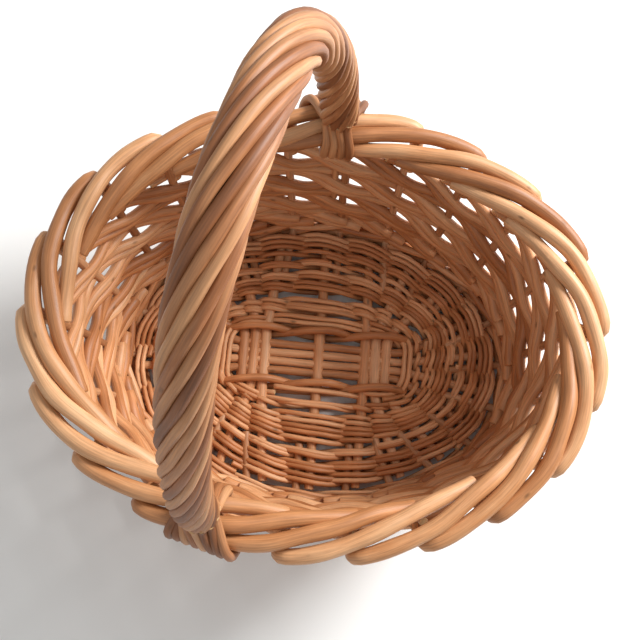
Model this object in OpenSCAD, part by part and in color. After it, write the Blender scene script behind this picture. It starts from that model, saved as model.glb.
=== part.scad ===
// Egg collection basket: an oval woven willow basket with a fixed roped bow handle.
// Millimetres, +Z up. The origin is under the middle of the rim, on the surface the basket stands on.

/* [Base] */
// Length of the woven base
base_len = 284; // [220:2:340]
// Width of the woven base
base_wid = 208; // [170:2:250]
// Radius of the base's two ends
end_r = 86; // [70:1:100]
// Diameter of the base sticks
stick_d = 8; // [6:0.5:10]
// Diameter of the long sticks where they pass through the slits
long_d = 6.6; // [5:0.2:7]
// Distance from the middle stick to the left group of three
group_x = 42.4; // [34:0.2:50]
// Distance from the middle stick to the right group of three
right_x = 36.6; // [30:0.2:50]
// Height of the sticks' centre line
stick_z = 9; // [8:0.5:12]
// Thickness of the base weave
mat_t = 15; // [13:0.5:18]
// Spacing of the fine rounds in the base
round_p = 5.4; // [4:0.1:7]

/* [Wall] */
// Height of the border's centre line
border_z = 147; // [110:1:200]
// How far the wall leans out on its way up
flare = 20; // [8:1:40]
// How far the rim sits towards the left of the base
rim_shift = 8; // [0:1:16]
// Diameter of the side stakes
stake_d = 6; // [4:0.5:7]
// Width of a side round, measured through the wall
course_w = 13; // [11:0.5:16]
// Height of a side round
course_h = 6; // [4:0.5:8]
// Height of the lowest side round
course_z = 36; // [32:1:40]
// Spacing of the side rounds
course_p = 14.5; // [11:0.1:18]

/* [Border] */
// Diameter of the border rods
border_d = 9.5; // [7:0.1:11]
// Radius on which the border rods roll over the rim
roll_r = 10.5; // [9:0.1:13]

/* [Handle] */
// Height of the handle's centre line above the border's
bow_rise = 226; // [160:1:280]
// Bending radius at the top of the bow
bow_r = 88; // [60:1:110]
// Sideways lean of the bow
bow_lean = 4; // [0:0.5:8]
// Diameter of the bow rod
bow_d = 14; // [10:0.5:16]
// Diameter of the slyped bow ends in the weave
slype_d = 5; // [4:0.2:6]
// Depth of the bow ends below the border
slype_l = 87; // [50:1:100]
// Diameter of a wrapping rod
wrap_d = 4.6; // [3.6:0.1:5]
// Length in which a wrapping rod goes once round the bow
wrap_pitch = 190; // [150:5:260]

/* [Hidden] */
$fn = 64;
gap = 0.1;
n_stakes = 22;
a0 = base_len / 2;
b0 = base_wid / 2;
cx = a0 - end_r;
dr = b0 - end_r;
ky = (cx * cx - dr * dr) / (2 * dr);
side_r = b0 + ky;
th = atan2(ky, cx);
deg = 180 / PI;
// spacing of stakes is measured on this parallel of the base oval
mid_off = 14;
le = (end_r + mid_off) * th / deg;
ls = (side_r + mid_off) * (180 - 2 * th) / deg;
perim = 4 * le + 2 * ls;
pitch = perim / n_stakes;
edge_off = -3;
wall_off = 6;
edge_w = 17;
mat_z0 = stick_z - mat_t / 2;
edge_top = stick_z + mat_t / 2 + 1;
upsett_z = edge_top + 4.8;
stick_p = stick_d + 0.3;
long_p = long_d + 0.4;
slit_h = long_d + 0.2;
slit_y = 1.5 * long_p + long_d / 2 + 0.2;
bulge_h = long_d + 5.4;
bend_y = slit_y + 10;
bend_x = group_x + 2 * stick_p + stick_d / 2 + 5;
bind_d = 4.4;
bind_y = slit_y + bind_d / 2 + 4;
window_x = bend_x + long_d / 2 + 1.5;
window_y = bend_y + stick_d / 2 + 1.2;
mat_offs = [-80, -47, -25, edge_off];
leg_l = 8;
leg_d = stake_d - 0.6;
stake_side = 10;
border_off = wall_off + flare;
border_reach = roll_r + border_d / 2;
wrap_r = border_reach + wrap_d / 2 + 0.3;
// feet of the handle, counted in stake pitches round the rim
foot_near = 15.07;
foot_far = 5.42;
bow_start = wrap_r + wrap_d / 2 + 1.2;
mid_y = (wrap_r + wrap_d / 2 - border_reach) / 2;

function wrap360(p) = p - 360 * floor((p + 180) / 360);
function centre_of(p) =
    let (q = wrap360(p))
    abs(q) <= th ? [cx, 0, end_r]
    : abs(q) >= 180 - th ? [-cx, 0, end_r]
    : q > 0 ? [0, -ky, side_r]
    : [0, ky, side_r];
function oval(p, off) =
    let (c = centre_of(p))
    [c[0] + (c[2] + off) * cos(p), c[1] + (c[2] + off) * sin(p)];
function phi(s) =
    let (t = s - perim * floor(s / perim))
    t < le ? t / (end_r + mid_off) * deg
    : t < le + ls ? th + (t - le) / (side_r + mid_off) * deg
    : t < 3 * le + ls ? 180 - th + (t - le - ls) / (end_r + mid_off) * deg
    : t < 3 * le + 2 * ls ? 180 + th + (t - 3 * le - ls) / (side_r + mid_off) * deg
    : 360 - th + (t - 3 * le - 2 * ls) / (end_r + mid_off) * deg;
function up(z) = (z - stick_z) / (border_z - stick_z);
function shift(z) = -rim_shift * up(z);
function wall(p, z, more) =
    let (q = oval(p, wall_off + flare * up(z) + more))
    [q[0] + shift(z), q[1], z];
function flat(p, off, z) = let (q = oval(p, off)) [q[0], q[1], z];
function end_s(i) = (i + 0.5) * pitch;
function stick_end(i) = flat(phi(end_s(i)), edge_off - 1, stick_z);
function stake_phi(i) = phi(end_s(i) - stake_side);
function cross_x(j) = [-group_x - 2 * stick_p, -group_x - stick_p, -group_x, 0,
    right_x, right_x + stick_p, right_x + 2 * stick_p][j];
function cross_pts(j) = [stick_end(13 + j), [cross_x(j), -bend_y, stick_z],
    [cross_x(j), bend_y, stick_z], stick_end(8 - j)];
function long_y(k) = (k - 1.5) * long_p;
function long_pts(k) = [stick_end(12 - k), [-bend_x, long_y(k), stick_z],
    [bend_x, long_y(k), stick_z], stick_end(k - 2)];
function bend_of(i) =
    let (j = (i + 22) % 22)
    j <= 1 ? long_pts(j + 2)[2]
    : j <= 8 ? cross_pts(8 - j)[2]
    : j <= 12 ? long_pts(12 - j)[1]
    : j <= 19 ? cross_pts(j - 13)[1]
    : long_pts(j - 20)[2];
function unit(v) = v / norm(v);
function leg_dir(i) = unit(stick_end(i) - bend_of(i));
function leg_foot(i) = flat(stake_phi(i), wall_off, stick_z);
// The long sticks end at the left and right of the base
function long_end(i) = i <= 1 || i >= 20 || (i >= 9 && i <= 12);
function foot_p(s) = phi(s * pitch);
function rim_point(s) = wall(foot_p(s), border_z, 0);

// Local frame of the handle's plane: u towards the far foot, w up, v across
near_f = rim_point(foot_near);
far_f = rim_point(foot_far);
bow_mid = (near_f + far_f) / 2;
bow_u = unit(far_f - near_f);
half_span = norm(far_f - near_f) / 2;
bow_az = atan2(bow_u[1], bow_u[0]);
bow_c = bow_rise - bow_r;
bow_k = (bow_c * bow_c - pow(half_span - bow_r, 2)) / (2 * (half_span - bow_r));
bow_side_r = half_span + bow_k;
bow_th = atan2(bow_k, bow_c);
bow_a0 = asin(bow_start / bow_side_r);
bow_side_l = bow_side_r * (90 - bow_th - bow_a0) / deg;
bow_top_l = bow_r * 2 * bow_th / deg;
bow_len = 2 * bow_side_l + bow_top_l;

// Point, outward direction and angle of the bow at length s from its near end
function bow_at(s) =
    s < bow_side_l ? let (a = 180 - bow_a0 - s / bow_side_r * deg)
        [bow_k + bow_side_r * cos(a), bow_side_r * sin(a), a]
    : s < bow_side_l + bow_top_l ? let (a = 90 + bow_th - (s - bow_side_l) / bow_r * deg)
        [bow_r * cos(a), bow_c + bow_r * sin(a), a]
    : let (a = 90 - bow_th - (s - bow_side_l - bow_top_l) / bow_side_r * deg)
        [-bow_k + bow_side_r * cos(a), bow_side_r * sin(a), a];
function tilt(p) = [p[0], p[1] * cos(bow_lean) + p[2] * sin(bow_lean),
    p[2] * cos(bow_lean) - p[1] * sin(bow_lean)];
function turn(p) = [p[0] * cos(bow_az) - p[1] * sin(bow_az),
    p[0] * sin(bow_az) + p[1] * cos(bow_az), p[2]];
// u and w in the bow's plane and v across it, carried to the basket's frame
function bow_world(u, v, w) = bow_mid + turn(tilt([u, -v, w]));
function wrap_point(s, a) =
    let (b = bow_at(s), r = bow_d / 2 + wrap_d / 2 + 0.15)
    bow_world(b[0] + r * cos(a) * cos(b[2]), r * sin(a), b[1] + r * cos(a) * sin(b[2]));

// A round rod along a list of points
module sweep(pts, r, n, across) {
    m = len(pts);
    t = [for (i = [0:m - 1]) unit(pts[min(i + 1, m - 1)] - pts[max(i - 1, 0)])];
    v = [for (i = [0:m - 1])
        let (x = unit(cross(across[i], t[i])), y = cross(t[i], x))
        for (k = [0:n - 1]) pts[i] + r * (x * cos(360 * k / n) + y * sin(360 * k / n))];
    sides = [for (i = [0:m - 2]) for (k = [0:n - 1])
        let (a = i * n + k, b = i * n + (k + 1) % n)
        for (f = [[a, a + n, b], [b, a + n, b + n]]) f];
    first = [for (k = [1:n - 2]) [0, k, k + 1]];
    last = [for (k = [1:n - 2]) [(m - 1) * n, (m - 1) * n + k + 1, (m - 1) * n + k]];
    polyhedron(points = v, faces = concat(sides, first, last));
}

// A straight round rod from p to q
module rod(p, q, d) {
    v = q - p;
    l = norm(v);
    translate(p)
        rotate([0, acos(v[2] / l), atan2(v[1], v[0])])
            cylinder(h = l, d = d);
}

// Carries a flat profile once round the oval, off millimetres outside the base line
module around(off, z, $fn = 128) {
    for (m = [0, 1]) {
        translate([m == 0 ? cx : -cx, 0, z])
            rotate([0, 0, 180 * m - th])
                rotate_extrude(angle = 2 * th)
                    translate([end_r + off, 0])
                        children();
        translate([0, m == 0 ? -ky : ky, z])
            rotate([0, 0, 180 * m + th])
                rotate_extrude(angle = 180 - 2 * th)
                    translate([side_r + off, 0])
                        children();
    }
}

module slot_profile(w, h) {
    polygon([[-w / 2, -0.2 * h], [0.3 * h - w / 2, -h / 2], [w / 2 - 0.3 * h, -h / 2],
        [w / 2, -0.2 * h], [w / 2, 0.2 * h], [w / 2 - 0.3 * h, h / 2],
        [0.3 * h - w / 2, h / 2], [-w / 2, 0.2 * h]]);
}

module mat_profile(w) {
    n = max(2, round(w / round_p));
    p = w / n;
    h = mat_t / 2;
    top = [for (i = [0:n - 1]) each [[i * p, h - 1], [i * p + 1.2, h - 1], [i * p + 1.2, h],
        [(i + 1) * p, h]]];
    polygon(concat([[0, -h]], top, [[w, -h]]));
}

module base_rod(pts, d) {
    sweep(pts, d / 2, 12, [for (i = [0:3]) [0, 0, 1]]);
}

// A square channel along the base from p to q that runs on past q
module channel(p, q, d, past) {
    v = q - p;
    translate(p)
        rotate([0, 0, atan2(v[1], v[0])])
            translate([0, -d / 2, -d / 2])
                cube([norm(v) + past, d, d]);
}

// A stake: its foot lies in the edge wale beside a base stick, then it turns up the wall
module stake(i, d) {
    rod(leg_foot(i) - leg_l * leg_dir(i), leg_foot(i) + 2 * leg_dir(i), leg_d);
    stake_up(i, stick_z, border_z - 4, d);
}

module stake_up(i, z0, z1, d) {
    low = wall(stake_phi(i), z0, 0);
    top = wall(stake_phi(i), z1, 0);
    rod(low - 2 * unit(top - low), top, d);
}

module stake_group(list) {
    for (i = list) {
        stake(i, stake_d);
    }
}

// The slyped end of the bow, from under the wrap down into the side weave
module slype(s, d) {
    q = bow_at(s == foot_near ? 5 : bow_len - 5);
    rod(bow_world(q[0], 0, q[1]), wall(foot_p(s), border_z - slype_l, 0), d);
}

module slypes(d) {
    slype(foot_near, d);
    slype(foot_far, d);
}

module border_rod(i) {
    m = 15;
    s0 = end_s(i) - stake_side;
    pts = [for (k = [0:m])
        let (t = k / m, a = -30 + 240 * t, p = phi(s0 + 3 * pitch * t), c = wall(p, border_z, 0))
        c + [roll_r * cos(a) * cos(p), roll_r * cos(a) * sin(p), roll_r * sin(a)]];
    sweep(pts, border_d / 2, 8, [for (k = [0:m]) [0, 0, 1]]);
}

function near_foot(i, s) =
    let (a = s - (i + 0.5 - stake_side / pitch), b = a - n_stakes * round((a - 1.5) / n_stakes))
    b > -0.4 && b < 3.4;

module border_group(list) {
    for (i = list) {
        if (near_foot(i, foot_near) || near_foot(i, foot_far)) {
            difference() {
                border_rod(i);
                slypes(slype_d + 2 * gap);
            }
        } else {
            border_rod(i);
        }
    }
}

module foot_wrap(s) {
    p = foot_p(s);
    c = rim_point(s);
    for (m = [-1, 1]) for (k = [0:2]) {
        t = m * (slype_d / 2 + wrap_d / 2 + 0.2 + k * (wrap_d + 0.2));
        translate(c + t * [-sin(p), cos(p), 0])
            rotate([90, 0, p])
                rotate([0, 0, -72])
                    rotate_extrude(angle = 160)
                        translate([wrap_r, 0])
                            circle(d = wrap_d);
    }
}

module rope_strand(j) {
    m = 46;
    s = [for (k = [0:m]) bow_len * (0.004 + 0.992 * k / m)];
    pts = [for (k = [0:m]) wrap_point(s[k], 30 * j + 360 * s[k] / wrap_pitch)];
    side = bow_world(0, 1, 0) - bow_world(0, 0, 0);
    sweep(pts, wrap_d / 2 - 0.2, 6, [for (k = [0:m]) side]);
}

module cross_stick(j) {
    color("burlywood")
    difference() {
        union() {
            base_rod(cross_pts(j), stick_d);
            translate([cross_x(j), 0, stick_z])
                cube([stick_d - 1, 2 * slit_y + 7, bulge_h], center = true);
        }
        translate([cross_x(j), 0, stick_z])
            cube([2 * stick_d, 2 * slit_y, slit_h], center = true);
    }
}

module long_stick(k) {
    color("tan") base_rod(long_pts(k), long_d);
}

module slath_binding(m) {
    color("peru")
    for (n = [-1, 1]) {
        translate([0, m * bind_y, stick_z + n * (stick_d / 2 + bind_d / 2 + gap)])
            rotate([0, 90, 0])
                cylinder(h = 2 * bend_x - 2, d = bind_d, center = true);
    }
}

module base_weave(n) {
    off = mat_offs[n - 1] + (n == 1 ? 0 : 0.2);
    color("wheat")
    difference() {
        around(off, stick_z) mat_profile(mat_offs[n] - off);
        if (n == 1) {
            translate([0, 0, stick_z]) cube([2 * window_x, 2 * window_y, 4 * mat_t], center = true);
        }
        for (i = [0:n_stakes - 1]) {
            channel(bend_of(i), stick_end(i), (long_end(i) ? long_d : stick_d) + 2 * gap, 6);
        }
    }
}

module base_edge_wale() {
    low = stick_z - stake_d / 2 - gap;
    lip = wall_off - edge_off + stake_d / 2 + 0.2;
    color("sandybrown")
    around(edge_off + 0.2, 0)
        polygon([[0, 0], [edge_w - 3, 0], [edge_w, 3], [edge_w, edge_top - 3],
            [edge_w - 2, edge_top], [lip, edge_top], [lip, low], [0, low]]);
}

module stakes_left() {
    color("tan") stake_group([9:12]);
}

module stakes_right() {
    color("tan") stake_group([0, 1, 20, 21]);
}

module stakes_back() {
    color("tan") stake_group([2:8]);
}

module stakes_front() {
    color("tan") stake_group([13:19]);
}

// Where the slyped end of the bow crosses height z
function slype_at(s, z) =
    let (q = bow_at(s == foot_near ? 5 : bow_len - 5), p = bow_world(q[0], 0, q[1]),
        e = wall(foot_p(s), border_z - slype_l, 0), t = (z - e[2]) / (p[2] - e[2]))
    e + t * (p - e);

// One round of the side weave, with upright holes wide enough for the leaning stakes
module wall_round(z, w, h) {
    slack = 2 * gap + h * 0.16;
    difference() {
        translate([shift(z), 0, 0])
            around(wall_off + flare * up(z), z)
                slot_profile(w, h);
        for (i = [0:n_stakes - 1]) {
            translate(wall(stake_phi(i), z, 0))
                cylinder(h = 3 * h, d = stake_d + slack, center = true);
        }
        for (s = [foot_near, foot_far]) {
            if (z + h > border_z - slype_l) {
                translate(slype_at(s, z))
                    cylinder(h = 3 * h, d = slype_d + slack, center = true);
            }
        }
    }
}

module upsett_wale() {
    color("sandybrown") wall_round(upsett_z, course_w + 2, 8);
}

module side_weave(n) {
    color("burlywood") wall_round(course_z + course_p * (n - 1), course_w, course_h);
}

module border_left() {
    color("peru") border_group([9:12]);
}

module border_right() {
    color("peru") border_group([0, 1, 20, 21]);
}

module border_back() {
    color("peru") border_group([2:8]);
}

module border_front() {
    color("peru") border_group([13:19]);
}

module handle_bow() {
    color("tan") {
        translate(bow_mid)
            rotate([0, 0, bow_az])
                rotate([90 - bow_lean, 0, 0]) {
                    translate([0, bow_c, 0])
                        rotate([0, 0, 90 - bow_th])
                            rotate_extrude(angle = 2 * bow_th)
                                translate([bow_r, 0])
                                    circle(d = bow_d, $fn = 12);
                    translate([-bow_k, 0, 0])
                        rotate([0, 0, bow_a0])
                            rotate_extrude(angle = 90 - bow_th - bow_a0, $fn = 256)
                                translate([bow_side_r, 0])
                                    circle(d = bow_d, $fn = 12);
                    translate([bow_k, 0, 0])
                        rotate([0, 0, 90 + bow_th])
                            rotate_extrude(angle = 90 - bow_th - bow_a0, $fn = 256)
                                translate([bow_side_r, 0])
                                    circle(d = bow_d, $fn = 12);
                }
        slypes(slype_d);
    }
}

module handle_rope_a() {
    color("rosybrown")
    for (j = [0:5]) {
        rope_strand(j);
    }
}

module handle_rope_b() {
    color("rosybrown")
    for (j = [6:11]) {
        rope_strand(j);
    }
}

module handle_foot_near() {
    color("rosybrown") foot_wrap(foot_near);
}

module handle_foot_far() {
    color("rosybrown") foot_wrap(foot_far);
}

// Puts a piece in the basket's frame, with the origin under the middle of its outline
module place() {
    translate([rim_shift, -mid_y, 0]) children();
}

place() cross_stick(0);  // cross_stick_1
place() cross_stick(1);  // cross_stick_2
place() cross_stick(2);  // cross_stick_3
place() cross_stick(3);  // cross_stick_4
place() cross_stick(4);  // cross_stick_5
place() cross_stick(5);  // cross_stick_6
place() cross_stick(6);  // cross_stick_7
place() long_stick(0);  // long_stick_1
place() long_stick(1);  // long_stick_2
place() long_stick(2);  // long_stick_3
place() long_stick(3);  // long_stick_4
place() slath_binding(-1);  // slath_binding_front
place() slath_binding(1);  // slath_binding_back
place() base_weave(1);  // base_weave_1
place() base_weave(2);  // base_weave_2
place() base_weave(3);  // base_weave_3
place() base_edge_wale();
place() stakes_left();
place() stakes_right();
place() stakes_front();
place() stakes_back();
place() upsett_wale();
place() side_weave(1);  // side_weave_1
place() side_weave(2);  // side_weave_2
place() side_weave(3);  // side_weave_3
place() side_weave(4);  // side_weave_4
place() side_weave(5);  // side_weave_5
place() side_weave(6);  // side_weave_6
place() side_weave(7);  // side_weave_7
place() border_left();
place() border_right();
place() border_front();
place() border_back();
place() handle_bow();
place() handle_rope_a();
place() handle_rope_b();
place() handle_foot_near();
place() handle_foot_far();
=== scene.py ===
# Egg collection basket in buff willow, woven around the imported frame. Metres, +Z up.
import math
import bpy
import numpy as np
from mathutils import Matrix, Vector


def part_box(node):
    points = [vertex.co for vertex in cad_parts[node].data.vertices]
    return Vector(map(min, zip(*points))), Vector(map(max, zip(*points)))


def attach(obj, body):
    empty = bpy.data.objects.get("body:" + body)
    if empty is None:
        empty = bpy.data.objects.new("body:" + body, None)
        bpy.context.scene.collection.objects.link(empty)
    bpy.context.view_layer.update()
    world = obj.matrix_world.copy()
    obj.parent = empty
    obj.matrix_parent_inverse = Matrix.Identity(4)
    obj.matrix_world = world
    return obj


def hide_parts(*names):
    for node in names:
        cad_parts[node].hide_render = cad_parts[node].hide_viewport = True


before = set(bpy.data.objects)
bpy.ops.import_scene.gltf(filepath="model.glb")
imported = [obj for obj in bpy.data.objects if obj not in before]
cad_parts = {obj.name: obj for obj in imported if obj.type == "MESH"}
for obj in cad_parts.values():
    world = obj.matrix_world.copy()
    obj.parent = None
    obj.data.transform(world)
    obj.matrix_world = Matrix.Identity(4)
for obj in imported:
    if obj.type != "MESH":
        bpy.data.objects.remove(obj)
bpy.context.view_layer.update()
bpy.ops.object.select_all(action="DESELECT")
chance = np.random.default_rng(22)
mm = 0.001
fullTurn = 2 * math.pi

# The camera stands above the near left side and looks down into the basket
camera = {"place": (-23.7 * mm, -116.7 * mm, 643.7 * mm), "down": 76.72, "turned": -11.84, "rolled": 16.48,
          "lens": 46.1}


def addCamera(view):
    down, turned, rolled = (math.radians(view[k]) for k in ("down", "turned", "rolled"))
    turn = Matrix.Rotation(turned, 3, "Z")
    ahead = turn @ Vector((0, math.cos(down), -math.sin(down)))
    right = turn @ Vector((1, 0, 0))
    above = right.cross(ahead)
    side = right * math.cos(rolled) + above * math.sin(rolled)
    top = above * math.cos(rolled) - right * math.sin(rolled)
    bpy.ops.object.camera_add(location=view["place"])
    cam = bpy.context.object
    cam.rotation_euler = Matrix((side, top, -ahead)).transposed().to_euler()
    cam.data.lens = view["lens"]
    cam.data.sensor_width = 36
    cam.data.clip_start = 0.01
    bpy.context.scene.camera = cam


addCamera(camera)

# What the wall and base follow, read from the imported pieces
shape = {"stakeCount": 22, "endRadius": 86 * mm, "edgeReach": 14.2 * mm, "roundWidth": 13 * mm,
         "stickHeight": 9 * mm, "stakeSide": 10 * mm, "pitchOffset": 14 * mm, "borderReach": 15.25 * mm}
stakes = range(shape["stakeCount"])
edgeLow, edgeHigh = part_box("base_edge_wale")
lowRound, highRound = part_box("side_weave_1"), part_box("side_weave_7")
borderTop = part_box("border_back")[1].z
baseMid = (edgeLow + edgeHigh) / 2
halfLen = (edgeHigh.x - edgeLow.x) / 2 - shape["edgeReach"]
halfWid = (edgeHigh.y - edgeLow.y) / 2 - shape["edgeReach"]
lowZ, highZ = ((b[0].z + b[1].z) / 2 for b in (lowRound, highRound))
leanOut = ((highRound[1].x - highRound[0].x) - (lowRound[1].x - lowRound[0].x)) / 2 / (highZ - lowZ)
leanLeft = ((highRound[1].x + highRound[0].x) - (lowRound[1].x + lowRound[0].x)) / 2 / (highZ - lowZ)
lowOffset = (lowRound[1].x - lowRound[0].x) / 2 - halfLen - shape["roundWidth"] / 2
borderZ = borderTop - shape["borderReach"]

# Four arcs make the oval: two ends and two long sides
endR = shape["endRadius"]
endX = halfLen - endR
sideY = (endX ** 2 - (halfWid - endR) ** 2) / (2 * (halfWid - endR))
sideR = halfWid + sideY
joinTurn = math.atan2(sideY, endX)
endPitchR, sidePitchR = endR + shape["pitchOffset"], sideR + shape["pitchOffset"]
endArc = endPitchR * joinTurn
sideArc = sidePitchR * (math.pi - 2 * joinTurn)
around = 4 * endArc + 2 * sideArc
pitch = around / shape["stakeCount"]


def angleAt(s):
    # Angle of the oval at length s round it, counter-clockwise from the right end
    t = np.mod(np.asarray(s, float), around)
    turns = np.floor(np.asarray(s, float) / around) * fullTurn
    firstJoin, secondJoin = endArc, endArc + sideArc
    thirdJoin, lastJoin = 3 * endArc + sideArc, 3 * endArc + 2 * sideArc
    return turns + np.select(
        [t < firstJoin, t < secondJoin, t < thirdJoin, t < lastJoin],
        [t / endPitchR, joinTurn + (t - firstJoin) / sidePitchR,
         math.pi - joinTurn + (t - secondJoin) / endPitchR,
         math.pi + joinTurn + (t - thirdJoin) / sidePitchR],
        fullTurn - joinTurn + (t - lastJoin) / endPitchR)


def ovalAt(p, off, z):
    p = np.asarray(p, float)
    q = np.mod(p + math.pi, fullTurn) - math.pi
    right, left = abs(q) <= joinTurn, abs(q) >= math.pi - joinTurn
    cx = np.where(right, endX, np.where(left, -endX, 0))
    cy = np.where(right | left, 0, np.where(q > 0, -sideY, sideY))
    r = np.where(right | left, endR, sideR) + off
    x = baseMid.x + cx + r * np.cos(q)
    y = baseMid.y + cy + r * np.sin(q)
    return np.stack(np.broadcast_arrays(x, y, z), axis=-1).astype(float)


def wallAt(p, z, more=0.0):
    # The wall leans out all round, and its top sits a little to the left
    z = np.asarray(z, float)
    q = ovalAt(p, lowOffset + leanOut * (z - lowZ) + more, z)
    q[..., 0] += leanLeft * (z - shape["stickHeight"])
    return q


def outward(p):
    p = np.asarray(p, float)
    return np.stack([np.cos(p), np.sin(p), np.zeros_like(p)], axis=-1)


def stakeAngle(i):
    return float(angleAt((i + 0.5) * pitch - shape["stakeSide"]))


def roundCorners(points, passes=3):
    points = np.asarray(points, float)
    for _ in range(passes):
        a, b = points[:-1], points[1:]
        cut = np.empty((2 * len(a), 3))
        cut[0::2] = a * 0.75 + b * 0.25
        cut[1::2] = a * 0.25 + b * 0.75
        points = np.vstack([points[:1], cut, points[-1:]])
    return points


def resample(points, count):
    points = np.asarray(points, float)
    along = np.concatenate([[0], np.cumsum(np.linalg.norm(np.diff(points, axis=0), axis=1))])
    places = np.linspace(0, along[-1], count)
    return np.column_stack([np.interp(places, along, points[:, k]) for k in range(3)]), along[-1]


def pathFrames(points):
    # Carries a cross direction along the path without turning it round the rod
    tangent = np.gradient(points, axis=0)
    tangent /= np.linalg.norm(tangent, axis=1)[:, None]
    start = np.array([0, 0, 1.0]) if abs(tangent[0][2]) < 0.9 else np.array([1.0, 0, 0])
    across = np.empty_like(points)
    side = start
    for k, t in enumerate(tangent):
        side = side - t * side.dot(t)
        side = side / np.linalg.norm(side)
        across[k] = side
    return tangent, across


# Rod blanks: straight rods with bevelled cut ends, which are then bent into place
blanks = []
cutEdge = {"bevelShare": 0.07, "steps": 2, "smoothAngle": 50}


def makeBlank(name, length, thick, sides, step):
    bpy.ops.object.select_all(action="DESELECT")
    bpy.ops.mesh.primitive_cylinder_add(vertices=sides, radius=thick / 2, depth=length, location=(0, 0, length / 2))
    blank = bpy.context.object
    blank.name = name
    bpy.ops.object.transform_apply(location=True, rotation=True, scale=True)
    bpy.ops.object.mode_set(mode="EDIT")
    bpy.ops.mesh.select_all(action="DESELECT")
    bpy.ops.object.mode_set(mode="OBJECT")
    mesh = blank.data
    for e in mesh.edges:
        a, b = (mesh.vertices[v].co for v in e.vertices)
        e.select = abs(a.z - b.z) < 1e-6
    bpy.ops.object.mode_set(mode="EDIT")
    bpy.ops.mesh.select_mode(type="EDGE")
    bpy.ops.mesh.bevel(offset=thick * cutEdge["bevelShare"], offset_type="OFFSET", segments=cutEdge["steps"],
                       affect="EDGES")
    bpy.ops.mesh.select_all(action="DESELECT")
    bpy.ops.object.mode_set(mode="OBJECT")
    for e in mesh.edges:
        a, b = (mesh.vertices[v].co for v in e.vertices)
        e.select = abs(a.z - b.z) > length / 2
    bpy.ops.object.mode_set(mode="EDIT")
    bpy.ops.mesh.subdivide(number_cuts=max(1, round(length / step) - 1))
    bpy.ops.object.mode_set(mode="OBJECT")
    bpy.ops.object.shade_smooth_by_angle(angle=math.radians(cutEdge["smoothAngle"]))
    blanks.append(blank)
    return blank


# How far a rod strays from its line, and how much its thickness swells along it
unevenness = {"line": 0.25 * mm, "lineLength": 120 * mm, "lump": 0.03, "lumpLength": 37 * mm, "sampleStep": 2.5 * mm,
              "fewestSamples": 24}


def bendRod(blank, name, points, thick, wobble=unevenness["line"]):
    # Lays a copy of the blank along the points; thick lists its diameters from one end to the other
    straight = np.empty(len(blank.data.vertices) * 3)
    blank.data.vertices.foreach_get("co", straight)
    straight = straight.reshape(-1, 3)
    length = straight[:, 2].max()
    radius = np.hypot(straight[:, 0], straight[:, 1]).max()
    count = max(unevenness["fewestSamples"], int(length / unevenness["sampleStep"]))
    line, real = resample(points, count)
    u = np.linspace(0, 1, count)
    for k in range(3):
        waves = chance.uniform(1, 3) * u * real / unevenness["lineLength"]
        line[:, k] += wobble * np.sin(fullTurn * (waves + chance.uniform()))
    tangent, across = pathFrames(line)
    third = np.cross(tangent, across)
    t = np.clip(straight[:, 2] / length, 0, 1)
    sizes = np.interp(t, np.linspace(0, 1, len(thick)), thick) / 2 / radius
    lumps = 1 + unevenness["lump"] * np.sin(fullTurn * (t * real / unevenness["lumpLength"] + chance.uniform()))
    at = lambda table: np.column_stack([np.interp(t, u, table[:, k]) for k in range(3)])
    turn = chance.uniform(0, fullTurn)
    x = straight[:, 0] * math.cos(turn) - straight[:, 1] * math.sin(turn)
    y = straight[:, 0] * math.sin(turn) + straight[:, 1] * math.cos(turn)
    a, b = at(across), at(third)
    placed = at(line) + (x * sizes * lumps)[:, None] * a + (y * sizes * lumps)[:, None] * b
    rod = blank.copy()
    rod.data = blank.data.copy()
    rod.name = name
    bpy.context.scene.collection.objects.link(rod)
    rod.data.vertices.foreach_set("co", placed.ravel())
    space = rod.data.attributes.new("rodSpace", "FLOAT_VECTOR", "POINT")
    stretched = np.column_stack([straight[:, 0] * sizes, straight[:, 1] * sizes, t * real])
    space.data.foreach_set("vector", (stretched + chance.uniform(0, 3, 3)).ravel())
    tone = rod.data.attributes.new("rodTone", "FLOAT", "POINT")
    tone.data.foreach_set("value", np.full(len(straight), chance.uniform()))
    cut = rod.data.attributes.new("cutEnd", "FLOAT", "POINT")
    ends = (straight[:, 2] < 1e-6) | (straight[:, 2] > length - 1e-6)
    cut.data.foreach_set("value", ends.astype(float))
    rod.data.update()
    return rod


def joinRods(rods, name):
    bpy.ops.object.select_all(action="DESELECT")
    for rod in rods:
        rod.select_set(True)
    bpy.context.view_layer.objects.active = rods[0]
    if len(rods) > 1:
        bpy.ops.object.join()
    piece = bpy.context.view_layer.objects.active
    piece.name = name
    piece.data.name = name
    return piece


def fit(piece, material, node):
    piece.data.materials.clear()
    piece.data.materials.append(material)
    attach(piece, "root")
    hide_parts(node)


# Colours are sRGB hex and are turned to linear here
def linear(code):
    parts = [int(code[k:k + 2], 16) / 255 for k in (1, 3, 5)]
    return tuple(c / 12.92 if c <= 0.04045 else ((c + 0.055) / 1.055) ** 2.4 for c in parts) + (1,)


def addNode(tree, kind, settings=None, inputs=None):
    node = tree.nodes.new(kind)
    for key, value in (settings or {}).items():
        setattr(node, key, value)
    for key, value in (inputs or {}).items():
        if hasattr(value, "is_output"):
            tree.links.new(value, node.inputs[key])
        else:
            node.inputs[key].default_value = value
    return node


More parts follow.
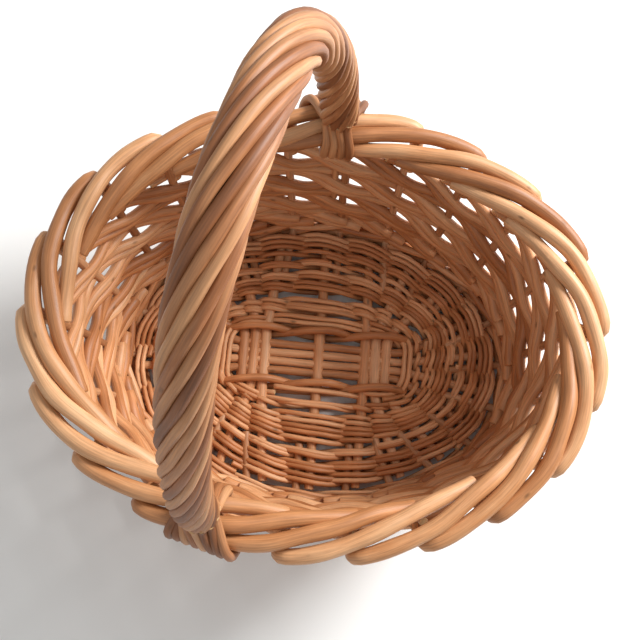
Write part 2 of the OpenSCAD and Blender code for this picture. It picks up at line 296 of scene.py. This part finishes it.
# Boiled and peeled willow: tan to brown rods, each its own tone, with fine streaks along the rod,
# darker bud scars, a dull satin skin and pale cut ends; the handle's darker colours are partly painted shade
willowLooks = {
    "baseStickBuffWillow": {"dark": "#955A32", "mid": "#C98A5A", "light": "#E6B387", "rough": 0.5},
    "baseWeaveBuffWillow": {"dark": "#96572C", "mid": "#CA8755", "light": "#E6AF80", "rough": 0.5},
    "stakeBuffWillow": {"dark": "#8A5733", "mid": "#B27A50", "light": "#CF9D74", "rough": 0.52},
    "sideWeaveBuffWillow": {"dark": "#965A30", "mid": "#C68655", "light": "#E2B082", "rough": 0.48},
    "borderBuffWillow": {"dark": "#8C532B", "mid": "#BE8252", "light": "#DFAF82", "rough": 0.46},
    # The handle's dark, mid and light colours are darker than the other willow: partly the rods' own tone, partly
    # painted shade for the handle's shaded lower side
    "handleRopedWillowPaintedShade": {"dark": "#5E351C", "mid": "#9C6239", "light": "#CF9A6C", "rough": 0.5},
}
# How the rods' skin is patterned: stretches shorten the pattern's grain along the rod
skinPattern = {"streakScale": 1100.0, "streakStretch": 0.035, "streakShades": (0.7, 1.14), "blotchScale": 120.0,
               "blotchStretch": 0.3, "blotchWeight": 0.9, "scarScale": 90.0, "scarStretch": 0.45,
               "scarEdge": (0.04, 0.13), "scarStrength": 0.75, "scar": "#6A4524", "cutEnd": "#CDA878",
               "roughSpread": (-0.1, 0.15), "bumpHeight": 0.35 * mm, "bumpStrength": 0.5, "scarHeight": 0.8}


def makeWillow(name, look):
    material = bpy.data.materials.new(name)
    material.use_nodes = True
    tree = material.node_tree
    tree.nodes.clear()
    add = lambda kind, settings=None, inputs=None: addNode(tree, kind, settings, inputs)
    space = add("ShaderNodeAttribute", {"attribute_name": "rodSpace"}).outputs["Vector"]
    along = lambda stretch: add("ShaderNodeMapping", None, {"Vector": space, "Scale": (1, 1, stretch)}
                                ).outputs["Vector"]
    tone = add("ShaderNodeAttribute", {"attribute_name": "rodTone"}).outputs["Fac"]
    cut = add("ShaderNodeAttribute", {"attribute_name": "cutEnd"}).outputs["Fac"]
    # fibre streaks about 1 mm wide and 30 mm long
    streak = add("ShaderNodeTexNoise", None, {"Vector": along(skinPattern["streakStretch"]),
                                              "Scale": skinPattern["streakScale"],
                                              "Detail": 4.0, "Roughness": 0.6}).outputs["Fac"]
    # blotches 15 to 30 mm long where the skin took the tannin unevenly
    blotch = add("ShaderNodeTexNoise", None, {"Vector": along(skinPattern["blotchStretch"]),
                                              "Scale": skinPattern["blotchScale"], "Detail": 3.0}).outputs["Fac"]
    # bud scars 2 to 3 mm across, a few on each rod
    scarCell = add("ShaderNodeTexVoronoi", None, {"Vector": along(skinPattern["scarStretch"]),
                                                  "Scale": skinPattern["scarScale"]}).outputs["Distance"]
    scar = add("ShaderNodeMapRange", None, {
        "Value": scarCell, "From Min": skinPattern["scarEdge"][0], "From Max": skinPattern["scarEdge"][1],
        "To Min": skinPattern["scarStrength"], "To Max": 0.0}).outputs["Result"]
    mixed = add("ShaderNodeMath", {"operation": "MULTIPLY_ADD"},
                {0: blotch, 1: skinPattern["blotchWeight"], 2: tone}).outputs[0]
    ramp = add("ShaderNodeValToRGB", None, {"Fac": add("ShaderNodeMapRange", None, {
        "Value": mixed, "From Min": 0.15, "From Max": 1.6}).outputs["Result"]})
    ramp.color_ramp.elements[0].color = linear(look["dark"])
    ramp.color_ramp.elements[1].color = linear(look["light"])
    middle = ramp.color_ramp.elements.new(0.5)
    middle.color = linear(look["mid"])
    streakShade = add("ShaderNodeMapRange", None, {
        "Value": streak, "From Min": 0.3, "From Max": 0.7, "To Min": skinPattern["streakShades"][0],
        "To Max": skinPattern["streakShades"][1]}).outputs["Result"]
    shaded = add("ShaderNodeVectorMath", {"operation": "SCALE"},
                 {0: ramp.outputs["Color"], "Scale": streakShade}).outputs["Vector"]
    scarred = add("ShaderNodeMix", {"data_type": "RGBA"},
                  {0: scar, 6: shaded, 7: linear(skinPattern["scar"])}).outputs[2]
    ended = add("ShaderNodeMix", {"data_type": "RGBA"},
                {0: cut, 6: scarred, 7: linear(skinPattern["cutEnd"])}).outputs[2]
    smoother, rougher = (look["rough"] + spread for spread in skinPattern["roughSpread"])
    rough = add("ShaderNodeMapRange", None, {"Value": streak, "To Min": smoother, "To Max": rougher}).outputs["Result"]
    height = add("ShaderNodeMath", {"operation": "MULTIPLY_ADD"},
                 {0: scar, 1: skinPattern["scarHeight"], 2: streak}).outputs[0]
    bump = add("ShaderNodeBump", None, {"Height": height, "Strength": skinPattern["bumpStrength"],
                                        "Distance": skinPattern["bumpHeight"]}).outputs["Normal"]
    skin = add("ShaderNodeBsdfPrincipled", None, {"Base Color": ended, "Roughness": rough, "Normal": bump,
                                                  "IOR": 1.5})
    add("ShaderNodeOutputMaterial", None, {"Surface": skin.outputs[0]})
    return material


willow = {name: makeWillow(name, look) for name, look in willowLooks.items()}
print("materials ready")

# Base: seven cross sticks with four long sticks threaded through them
base = {"stick": 8 * mm, "longStick": 6.6 * mm, "groupLeft": 42.4 * mm, "groupRight": 36.5 * mm, "apart": 8.3 * mm,
        "longApart": 7 * mm, "edgeIn": -4 * mm, "fine": 3.9 * mm, "binding": 5.8 * mm, "roundStep": 4.9 * mm,
        "twist": 1.5 * mm, "square": 0.42, "squareLong": 3 * mm, "squareWide": 0,
        "innerOffset": -79 * mm, "splitOffset": -69 * mm, "roundFrom": -30 * mm,
        "ringOffsets": (-47 * mm, -25 * mm, 0), "bendPast": 10 * mm, "longBendPast": 5 * mm, "straightPast": 8 * mm,
        "crossThick": [7 * mm, 8 * mm, 9.2 * mm, 8 * mm, 7 * mm],
        "longThick": [7 * mm, 6.6 * mm, 6.4 * mm, 6.6 * mm, 7 * mm],
        "sink": 0.6 * mm, "floorShare": 0.56, "overlap": 0.03, "fineTaper": (1.05, 0.95), "fineStray": 0.15 * mm}
stickZ = shape["stickHeight"]
slitY = 1.5 * base["longApart"] + base["longStick"] / 2
bendY = slitY + base["bendPast"]
bendX = base["groupLeft"] + 2 * base["apart"] + base["stick"] / 2 + base["longBendPast"]
crossX = [-base["groupLeft"] - k * base["apart"] for k in (2, 1, 0)] + [0] + [
    base["groupRight"] + k * base["apart"] for k in (0, 1, 2)]


def stickEnd(i):
    return ovalAt(float(angleAt((i + 0.5) * pitch)), base["edgeIn"], stickZ)


def basePoint(x, y, z):
    return np.array([baseMid.x + x, baseMid.y + y, z])


# Stick ends are numbered counter-clockwise from the right end; the middle of each line stays straight
longY = [(k - 1.5) * base["longApart"] for k in range(4)]
crossLines = [[stickEnd(13 + j), basePoint(x, -bendY, stickZ), basePoint(x, bendY, stickZ), stickEnd(8 - j)]
              for j, x in enumerate(crossX)]
longLines = [[stickEnd(12 - k), basePoint(-bendX, y, stickZ), basePoint(bendX, y, stickZ), stickEnd(k - 2)]
             for k, y in enumerate(longY)]
crossBlank = makeBlank("crossBlank", 0.21, base["stick"], 12, 6 * mm)
longBlank = makeBlank("longBlank", 0.29, base["longStick"], 12, 6 * mm)
straightX = bendX - base["straightPast"]
crossMiddles = [[basePoint(x, -slitY, stickZ), basePoint(x, slitY, stickZ)] for x in crossX]
longMiddles = [[basePoint(-straightX, y, stickZ), basePoint(straightX, y, stickZ)] for y in longY]
for kind, blank, lines, middles in (("cross", crossBlank, crossLines, crossMiddles),
                                    ("long", longBlank, longLines, longMiddles)):
    for k, (line, middle) in enumerate(zip(lines, middles)):
        name = f"{kind}Stick{k + 1}"
        rod = bendRod(blank, name, roundCorners(line[:2] + middle + line[2:], 4), base[f"{kind}Thick"])
        fit(joinRods([rod], name), willow["baseStickBuffWillow"], f"{kind}_stick_{k + 1}")

# Bindings: a pair of thick rods in front of the long sticks and a pair behind
binding = {"clear": 4 * mm, "lift": 0.2 * mm, "past": 16 * mm, "leftEnd": 8 * mm, "rightEnd": 2 * mm,
           "steepness": 1.2, "sway": 2.2 * mm, "swayShift": 0.3, "floorShare": 0.6, "grow": 1.1,
           "endSteps": (-0.8, 2.8)}
bindBlank = makeBlank("bindBlank", 0.15, base["binding"], 10, 3 * mm)
bindY = slitY + base["binding"] / 2 + binding["clear"]
groupMids = [-base["groupLeft"] - base["apart"], 0, base["groupRight"] + base["apart"]]
bindRise = base["stick"] / 2 + base["binding"] / 2 + binding["lift"]
bindStations = [-bendX - binding["past"]] + groupMids + [bendX + binding["past"]]
bindSteps = [binding["endSteps"][0], 0, 1, 2, binding["endSteps"][1]]
for m, name in ((-1, "front"), (1, "back")):
    rods = []
    for n in (-1, 1):
        xs = np.linspace(-bendX - binding["leftEnd"], bendX + binding["rightEnd"], 60)
        step = np.interp(xs, bindStations, bindSteps)
        zs = stickZ + n * bindRise * np.clip(binding["steepness"] * np.cos(math.pi * step), -1, 1)
        zs = np.maximum(zs, binding["floorShare"] * base["binding"])
        ys = m * bindY + n * binding["sway"] * np.sin(math.pi * (step + binding["swayShift"]))
        pts = np.array([basePoint(x, y, z) for x, y, z in zip(xs, ys, zs)])
        rods.append(bendRod(bindBlank, "binding", pts, [base["binding"], base["binding"] * binding["grow"]]))
    fit(joinRods(rods, f"slathBinding{name.title()}"), willow["baseWeaveBuffWillow"],
        f"slath_binding_{name}")
print("base sticks laid")


def weaveAt(p, off, z):
    # The inner rounds are near rectangles about the slath, and the outer ones follow the oval
    p = np.asarray(p, float)
    outer = ovalAt(p, off, z)
    c, s = np.cos(p), np.sin(p)
    halfX, halfY = halfLen + off + base["squareLong"], halfWid + off + base["squareWide"]
    near = np.stack(np.broadcast_arrays(
        baseMid.x + halfX * np.sign(c) * abs(c) ** base["square"],
        baseMid.y + halfY * np.sign(s) * abs(s) ** base["square"], z), axis=-1)
    share = np.clip((base["roundFrom"] - off) / (base["roundFrom"] - base["innerOffset"]), 0, 1)
    share = np.broadcast_to(share, p.shape)[..., None]
    return outer * (1 - share) + near * share


# Where each numbered stick end leaves the straight middle of its stick
stickBends = {13 + j: line[1] for j, line in enumerate(crossLines)}
stickBends.update({8 - j: line[2] for j, line in enumerate(crossLines)})
stickBends.update({12 - k: line[1] for k, line in enumerate(longLines)})
stickBends.update({(k - 2) % len(stakes): line[2] for k, line in enumerate(longLines)})


def crossings(off, members):
    # Angles at which groups of sticks cross the round at this offset
    middle = np.array(baseMid)[:2]
    turn = np.linspace(0, fullTurn, 721)
    line = weaveAt(turn, off, 0)[:, :2] - middle
    bearing = np.unwrap(np.arctan2(line[:, 1], line[:, 0]))
    reach = np.hypot(line[:, 0], line[:, 1])
    found = []
    for group in members:
        angles = []
        for i in group:
            a, b = stickBends[i][:2] - middle, stickEnd(i)[:2] - middle
            spots = a + (b - a) * np.linspace(-0.4, 1.1, 90)[:, None]
            way = np.mod(np.arctan2(spots[:, 1], spots[:, 0]), fullTurn)
            gap = np.hypot(spots[:, 0], spots[:, 1]) - np.interp(way, bearing, reach, period=fullTurn)
            k = int(np.argmin(abs(gap)))
            angles.append(np.interp(way[k], bearing, turn, period=fullTurn))
        angles = np.unwrap(angles)
        found.append(float(np.mean(angles)) % fullTurn)
    return np.array(found)


singles = [[i] for i in stakes]
groups = [[20, 21, 0, 1], [2, 3, 4], [5], [6, 7, 8], [9, 10, 11, 12], [13, 14, 15], [16], [17, 18, 19]]


def weaveRounds(fromOff, toOff, members):
    # Pairs of fine rods that cross between the sticks, one over and one under each of them
    thick = base["fine"]
    up = (base["stick"] + thick) / 2 - base["sink"]
    down = stickZ - base["floorShare"] * thick
    rounds = max(1, round((toOff - fromOff) / base["roundStep"]))
    lines = []
    for lap in range(rounds):
        off0 = fromOff + (toOff - fromOff) * lap / rounds
        off1 = fromOff + (toOff - fromOff) * (lap + 1) / rounds
        table = crossings((off0 + off1) / 2, members)
        order = np.argsort(table)
        angles = np.concatenate([table[order] - fullTurn, table[order], table[order] + fullTurn])
        number = np.arange(len(angles))
        start = chance.uniform(0, fullTurn)
        for n in (0, 1):
            turn = np.linspace(start, start + fullTurn + base["overlap"], 320)
            index = np.interp(np.mod(turn, fullTurn), angles, number) - len(table)
            wave = np.cos(math.pi * (index + n))
            sway = base["twist"] * np.sin(math.pi * (index + n))
            off = off0 + (off1 - off0) * (turn - start) / fullTurn + sway
            lines.append(weaveAt(turn, off, stickZ + np.where(wave > 0, up, down) * wave))
    return lines


fineBlank = makeBlank("fineBlank", 0.7, base["fine"], 8, 4 * mm)
limits = (base["splitOffset"],) + base["ringOffsets"]
fineThick = [base["fine"] * taper for taper in base["fineTaper"]]
for ring in range(3):
    lines = weaveRounds(limits[ring], limits[ring + 1], singles)
    if ring == 0:
        lines = weaveRounds(base["innerOffset"], base["splitOffset"], groups) + lines
    rods = [bendRod(fineBlank, "fine", line, fineThick, base["fineStray"]) for line in lines]
    fit(joinRods(rods, f"baseWeave{ring + 1}"), willow["baseWeaveBuffWillow"],
        f"base_weave_{ring + 1}")
print("base woven")

# Wales: three rods twisted round the stakes at the base edge and at the upsett
wale = {"edgeOff": 6.4 * mm, "edgeZ": 7.4 * mm, "edgeRod": 6.2 * mm, "edgeTwist": 3.7 * mm,
        "edgeStakesPerTurn": 2.2, "upsettZ": 19.5 * mm, "upsettRod": 5.6 * mm, "upsettOut": 5.4 * mm,
        "upsettUp": 3 * mm, "upsettStakesPerTurn": 3.1428571, "rods": 3, "stray": 0.1 * mm}
waleBlank = makeBlank("waleBlank", 0.9, 6 * mm, 10, 5 * mm)


def waleRods(placeOf, out, upDown, thick, stakesPerTurn):
    rods = []
    s = np.linspace(0, around, 700)
    p = angleAt(s)
    for k in range(wale["rods"]):
        turn = fullTurn * (s / pitch / stakesPerTurn + k / wale["rods"])
        pts = placeOf(p) + outward(p) * (out * np.cos(turn))[:, None]
        pts[:, 2] += upDown * np.sin(turn)
        rods.append(bendRod(waleBlank, "wale", pts, [thick, thick], wale["stray"]))
    return rods


edgeRods = waleRods(lambda p: ovalAt(p, wale["edgeOff"], wale["edgeZ"]), wale["edgeTwist"], wale["edgeTwist"],
                    wale["edgeRod"], wale["edgeStakesPerTurn"])
fit(joinRods(edgeRods, "baseEdgeWale"), willow["sideWeaveBuffWillow"], "base_edge_wale")
upsettRods = waleRods(lambda p: wallAt(p, wale["upsettZ"]), wale["upsettOut"], wale["upsettUp"],
                      wale["upsettRod"], wale["upsettStakesPerTurn"])
fit(joinRods(upsettRods, "upsettWale"), willow["sideWeaveBuffWillow"], "upsett_wale")
print("wales done")

# Stakes: upright rods from the base edge to the border
stake = {"thick": 6.4 * mm, "tip": 6 * mm, "leg": 44 * mm, "kneeIn": 8 * mm, "kneeUp": 9 * mm, "below": 4 * mm}
stakeBlank = makeBlank("stakeBlank", 0.19, stake["thick"], 12, 5 * mm)
sidesOf = {"left": [9, 10, 11, 12], "right": [20, 21, 0, 1], "back": list(range(2, 9)),
           "front": list(range(13, 20))}
for name, members in sidesOf.items():
    rods = []
    for i in members:
        p = stakeAngle(i)
        ahead = stickEnd(i) - stickBends[i]
        ahead = ahead / np.linalg.norm(ahead)
        foot = wallAt(p, stickZ)
        pts = roundCorners([foot - ahead * stake["leg"], foot - ahead * stake["kneeIn"], foot,
                            wallAt(p, stickZ + stake["kneeUp"]), wallAt(p, borderZ - stake["below"])])
        rods.append(bendRod(stakeBlank, "stake", pts, [stake["thick"], stake["tip"]]))
    fit(joinRods(rods, f"stakes{name.title()}"), willow["stakeBuffWillow"], f"stakes_{name}")
print("stakes standing")

# Side weave: each rod starts with its butt inside, climbs one course a stake and goes out and in by turns
rand = {"first": 28 * mm, "rise": 14.5 * mm, "thick": [8.6 * mm, 7.8 * mm, 7.5 * mm, 7.2 * mm, 6.6 * mm],
        "start": -0.42, "end": 7.6, "upperLater": 0.3, "lowerShorter": 0.25, "swing": 3 * mm, "flatUntil": -0.1,
        "apart": 3.1 * mm, "slack": 1.3 * mm, "slackAt": 0.3, "slackStray": 0.1, "firstClimb": 1.3,
        "thickSpread": 0.06, "stray": 0.5 * mm, "pieces": 7}
randBlank = makeBlank("randBlank", 0.36, 6.6 * mm, 10, 4.5 * mm)
randRods = []
for i in stakes:
    pair = []
    for half in (-1, 1):
        # The two rods of a pair part and close again between the stakes, which leaves the short slots in the wall
        m = np.linspace(rand["start"] + rand["upperLater"] * (half > 0),
                        rand["end"] - rand["lowerShorter"] * (half < 0), 160)
        s = (i + 0.5 + m) * pitch - shape["stakeSide"]
        out = -rand["swing"] * np.cos(math.pi * np.maximum(m, rand["flatUntil"]))
        firstPart = rand["first"] + (lowZ - rand["first"]) * np.clip(m, 0, 1) ** rand["firstClimb"]
        slackPhase = m - rand["slackAt"] + rand["slackStray"] * chance.uniform(-1, 1)
        z = np.where(m < 1, firstPart, lowZ + (m - 1) * rand["rise"])
        z = z + half * (rand["apart"] + rand["slack"] * np.cos(fullTurn * slackPhase))
        p = angleAt(s)
        pts = wallAt(p, z) + outward(p) * out[:, None]
        thick = [t * chance.uniform(1 - rand["thickSpread"], 1 + rand["thickSpread"]) for t in rand["thick"]]
        pair.append(bendRod(randBlank, "rand", pts, thick, rand["stray"]))
    randRods.append(pair)
for k in range(rand["pieces"]):
    members = [rod for pair in randRods[k::rand["pieces"]] for rod in pair]
    fit(joinRods(members, f"sideWeave{k + 1}"), willow["sideWeaveBuffWillow"],
        f"side_weave_{k + 1}")
print("sides woven")

# Border: thick rods that turn up outside, roll over the rim and end in a cut butt inside
border = {"thick": [9 * mm, 10 * mm, 10.2 * mm, 9.6 * mm], "across": 11.4 * mm, "upDown": 7 * mm, "length": 3.1,
          "shorter": 0.2, "longer": 0.25, "from": 8, "to": 200, "elbowOut": 1.2 * mm, "elbowShare": 0.25,
          "riseBack": 0.06, "riseLow": 30 * mm, "riseMid": 10 * mm, "tuck": 1 * mm, "stray": 0.4 * mm}
borderBlank = makeBlank("borderBlank", 0.15, 10 * mm, 14, 3.5 * mm)
for name, members in sidesOf.items():
    rods = []
    for i in members:
        s0 = (i + 0.5) * pitch - shape["stakeSide"]
        reach = border["length"] + chance.uniform(-border["shorter"], border["longer"])
        t = np.linspace(0, 1, 40)
        turn = np.radians(border["from"] + (border["to"] - border["from"]) * t)
        p = angleAt(s0 + reach * pitch * t)
        across = border["across"] + border["elbowOut"] * np.clip(1 - t / border["elbowShare"], 0, 1)
        pts = wallAt(p, borderZ) + outward(p) * (across * np.cos(turn))[:, None]
        pts[:, 2] += border["upDown"] * np.sin(turn)
        p0 = angleAt(s0 - border["riseBack"] * pitch)
        rise = [wallAt(p0, borderZ - border["riseLow"], border["tuck"]),
                wallAt(p0, borderZ - border["riseMid"], border["across"] - border["tuck"]),
                wallAt(p0, borderZ + border["tuck"], border["across"] + border["elbowOut"])]
        pts = np.vstack([np.array(rise).reshape(-1, 3), pts[2:]])
        rods.append(bendRod(borderBlank, "border", roundCorners(pts, 2), border["thick"], border["stray"]))
    fit(joinRods(rods, f"border{name.title()}"), willow["borderBuffWillow"], f"border_{name}")
print("border laid")

# Handle: a bow wrapped with a rope of twelve rods, whose ends spread over the border at each foot
handle = {"near": 15.07, "far": 5.42, "lean": 4, "topRadius": 88 * mm, "bow": 14 * mm, "rod": 5.4 * mm, "count": 12,
          "pitch": 190 * mm, "depth": 87 * mm, "start": 20 * mm, "bowEnd": 5 * mm, "clear": 0.1 * mm,
          "stray": 0.2 * mm}
lean = math.radians(handle["lean"])
nearFoot = wallAt(float(angleAt(handle["near"] * pitch)), borderZ)
farFoot = wallAt(float(angleAt(handle["far"] * pitch)), borderZ)
bowMid = (nearFoot + farFoot) / 2
bowAlong = farFoot - nearFoot
halfSpan = np.linalg.norm(bowAlong) / 2
bowAlong = bowAlong / (2 * halfSpan)
bowRise = (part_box("handle_bow")[1].z - handle["bow"] / 2 * math.cos(lean) - borderZ) / math.cos(lean)
topR = handle["topRadius"]
topZ = bowRise - topR
legBack = (topZ ** 2 - (halfSpan - topR) ** 2) / (2 * (halfSpan - topR))
legR = halfSpan + legBack
legTurn = math.atan2(legBack, topZ)
legStart = math.asin(handle["start"] / legR)
legLen = legR * (math.pi / 2 - legTurn - legStart)
topLen = topR * 2 * legTurn
bowLen = 2 * legLen + topLen
bowSide = np.array([bowAlong[1], -bowAlong[0], 0])
bowUp = -bowSide * math.sin(lean) + np.array([0, 0, math.cos(lean)])
bowCross = np.cross(bowAlong, bowUp)


def bowAt(s):
    # Place along and up, and outward angle, at length s from the near foot
    if s < legLen:
        a = math.pi - legStart - s / legR
        return legBack + legR * math.cos(a), legR * math.sin(a), a
    if s < legLen + topLen:
        a = math.pi / 2 + legTurn - (s - legLen) / topR
        return topR * math.cos(a), topZ + topR * math.sin(a), a
    a = math.pi / 2 - legTurn - (s - legLen - topLen) / legR
    return -legBack + legR * math.cos(a), legR * math.sin(a), a


def bowPoint(s, out=0.0, turn=0.0):
    u, w, a = bowAt(s)
    r = out * math.cos(turn)
    return (bowMid + bowAlong * (u + r * math.cos(a)) + bowUp * (w + r * math.sin(a))
            + bowCross * (out * math.sin(turn)))


bowBlank = makeBlank("bowBlank", 0.8, handle["bow"], 16, 8 * mm)
ends = [wallAt(float(angleAt(handle[k] * pitch)), borderZ - handle["depth"]) for k in ("near", "far")]
spine = [ends[0]] + [bowPoint(s) for s in np.linspace(0, bowLen, 80)] + [ends[1]]
bowThick = [handle["bowEnd"]] * 3 + [handle["bow"]] * 14 + [handle["bowEnd"]] * 3
bowRod = bendRod(bowBlank, "handleBow", spine, bowThick, 0)
fit(joinRods([bowRod], "handleBow"), willow["handleRopedWillowPaintedShade"], "handle_bow")

ropeBlank = makeBlank("ropeBlank", 0.76, handle["rod"], 10, 4 * mm)
ropeR = handle["bow"] / 2 + handle["rod"] / 2 + handle["clear"]
strands = {"A": [], "B": []}
feet = {"near": [], "far": []}
for j in range(handle["count"]):
    s = np.linspace(0, bowLen, 200)
    turn = fullTurn * (j / handle["count"] + s / handle["pitch"])
    pts = np.array([bowPoint(a, ropeR, b) for a, b in zip(s, turn)])
    strand = bendRod(ropeBlank, "strand", pts, [handle["rod"], handle["rod"]], handle["stray"])
    strands["A" if j < handle["count"] / 2 else "B"].append(strand)
    feet["near"].append(pts[0])
    feet["far"].append(pts[-1])
for name, rods in strands.items():
    fit(joinRods(rods, f"handleRope{name}"), willow["handleRopedWillowPaintedShade"],
        f"handle_rope_{name.lower()}")

# Feet: the rope rods' ends, most of them outside the border. Each stop says how far out, how much of its
# own spread and of the sideways slide a rod has there, and its height over the border's middle
footFan = {"step": 5.4 * mm, "out": 17.5 * mm, "slide": 6 * mm, "outer": 8, "grow": 1.2, "lift": 5 * mm,
           "stops": [(0.85, 0.9, 0.35, 11 * mm), (1, 1, 0.8, 3 * mm), (0.95, 1, 1, -5 * mm),
                     (0.55, 1, 1.1, -11 * mm)]}
footBlank = makeBlank("footBlank", 0.075, handle["rod"], 10, 3 * mm)
footThick = [handle["rod"], handle["rod"] * footFan["grow"]]
for name, foot in (("near", nearFoot), ("far", farFoot)):
    p = float(angleAt(handle[name] * pitch))
    out = outward(p)
    along = np.array([-out[1], out[0], 0])
    tops = sorted(feet[name], key=lambda q: -(q - foot).dot(out))
    rods = []
    for sign, members in ((1, tops[:footFan["outer"]]), (-1, tops[footFan["outer"]:])):
        members = sorted(members, key=lambda q: (q - foot).dot(along))
        slide = footFan["slide"] if sign > 0 else 0
        for k, top in enumerate(members):
            spread = (k - (len(members) - 1) / 2) * footFan["step"]
            pts = [top + np.array([0, 0, footFan["lift"]]), top]
            for reach, spreadShare, slideShare, height in footFan["stops"]:
                sideways = spread * spreadShare + slide * slideShare
                pts.append(foot + out * footFan["out"] * sign * reach + along * sideways + np.array([0, 0, height]))
            rods.append(bendRod(footBlank, "foot", roundCorners(pts, 3), footThick))
    fit(joinRods(rods, f"handleFoot{name.title()}"), willow["handleRopedWillowPaintedShade"],
        f"handle_foot_{name}")
for blank in blanks:
    bpy.data.objects.remove(blank)
print("handle roped")

# Studio: a pale floor, a large soft key light from the right and a white room
studio = {"floor": "#EDEDEB", "key": 30.0, "keyPlace": (0.9, 0.6, 0.9), "keySize": 0.45, "fill": 2.6,
          "fillPlace": (-0.9, -0.9, 1.4), "fillSize": 1.6, "aim": (0, 0, 0.1), "room": 0.53,
          "floorSize": 6, "floorRough": 0.85}


def makeFloor(colour):
    material = bpy.data.materials.new("paperFloor")
    material.use_nodes = True
    tree = material.node_tree
    skin = tree.nodes["Principled BSDF"]
    skin.inputs["Base Color"].default_value = linear(colour)
    skin.inputs["Roughness"].default_value = studio["floorRough"]
    bpy.ops.mesh.primitive_plane_add(size=studio["floorSize"])
    floor = bpy.context.object
    floor.name = "floor"
    floor.data.materials.append(material)


def addLight(name, place, size, power):
    bpy.ops.object.light_add(type="AREA", location=place)
    light = bpy.context.object
    light.name = name
    light.data.size = size
    light.data.energy = power
    aim = Vector(studio["aim"]) - Vector(place)
    light.rotation_euler = aim.to_track_quat("-Z", "Y").to_euler()


makeFloor(studio["floor"])
addLight("keyLight", studio["keyPlace"], studio["keySize"], studio["key"])
addLight("fillLight", studio["fillPlace"], studio["fillSize"], studio["fill"])
# A plain view keeps the pale floor white
bpy.context.scene.view_settings.view_transform = "Standard"
world = bpy.data.worlds.new("room")
bpy.context.scene.world = world
world.use_nodes = True
background = world.node_tree.nodes["Background"]
background.inputs["Color"].default_value = (1, 1, 1, 1)
background.inputs["Strength"].default_value = studio["room"]
print("studio lit")
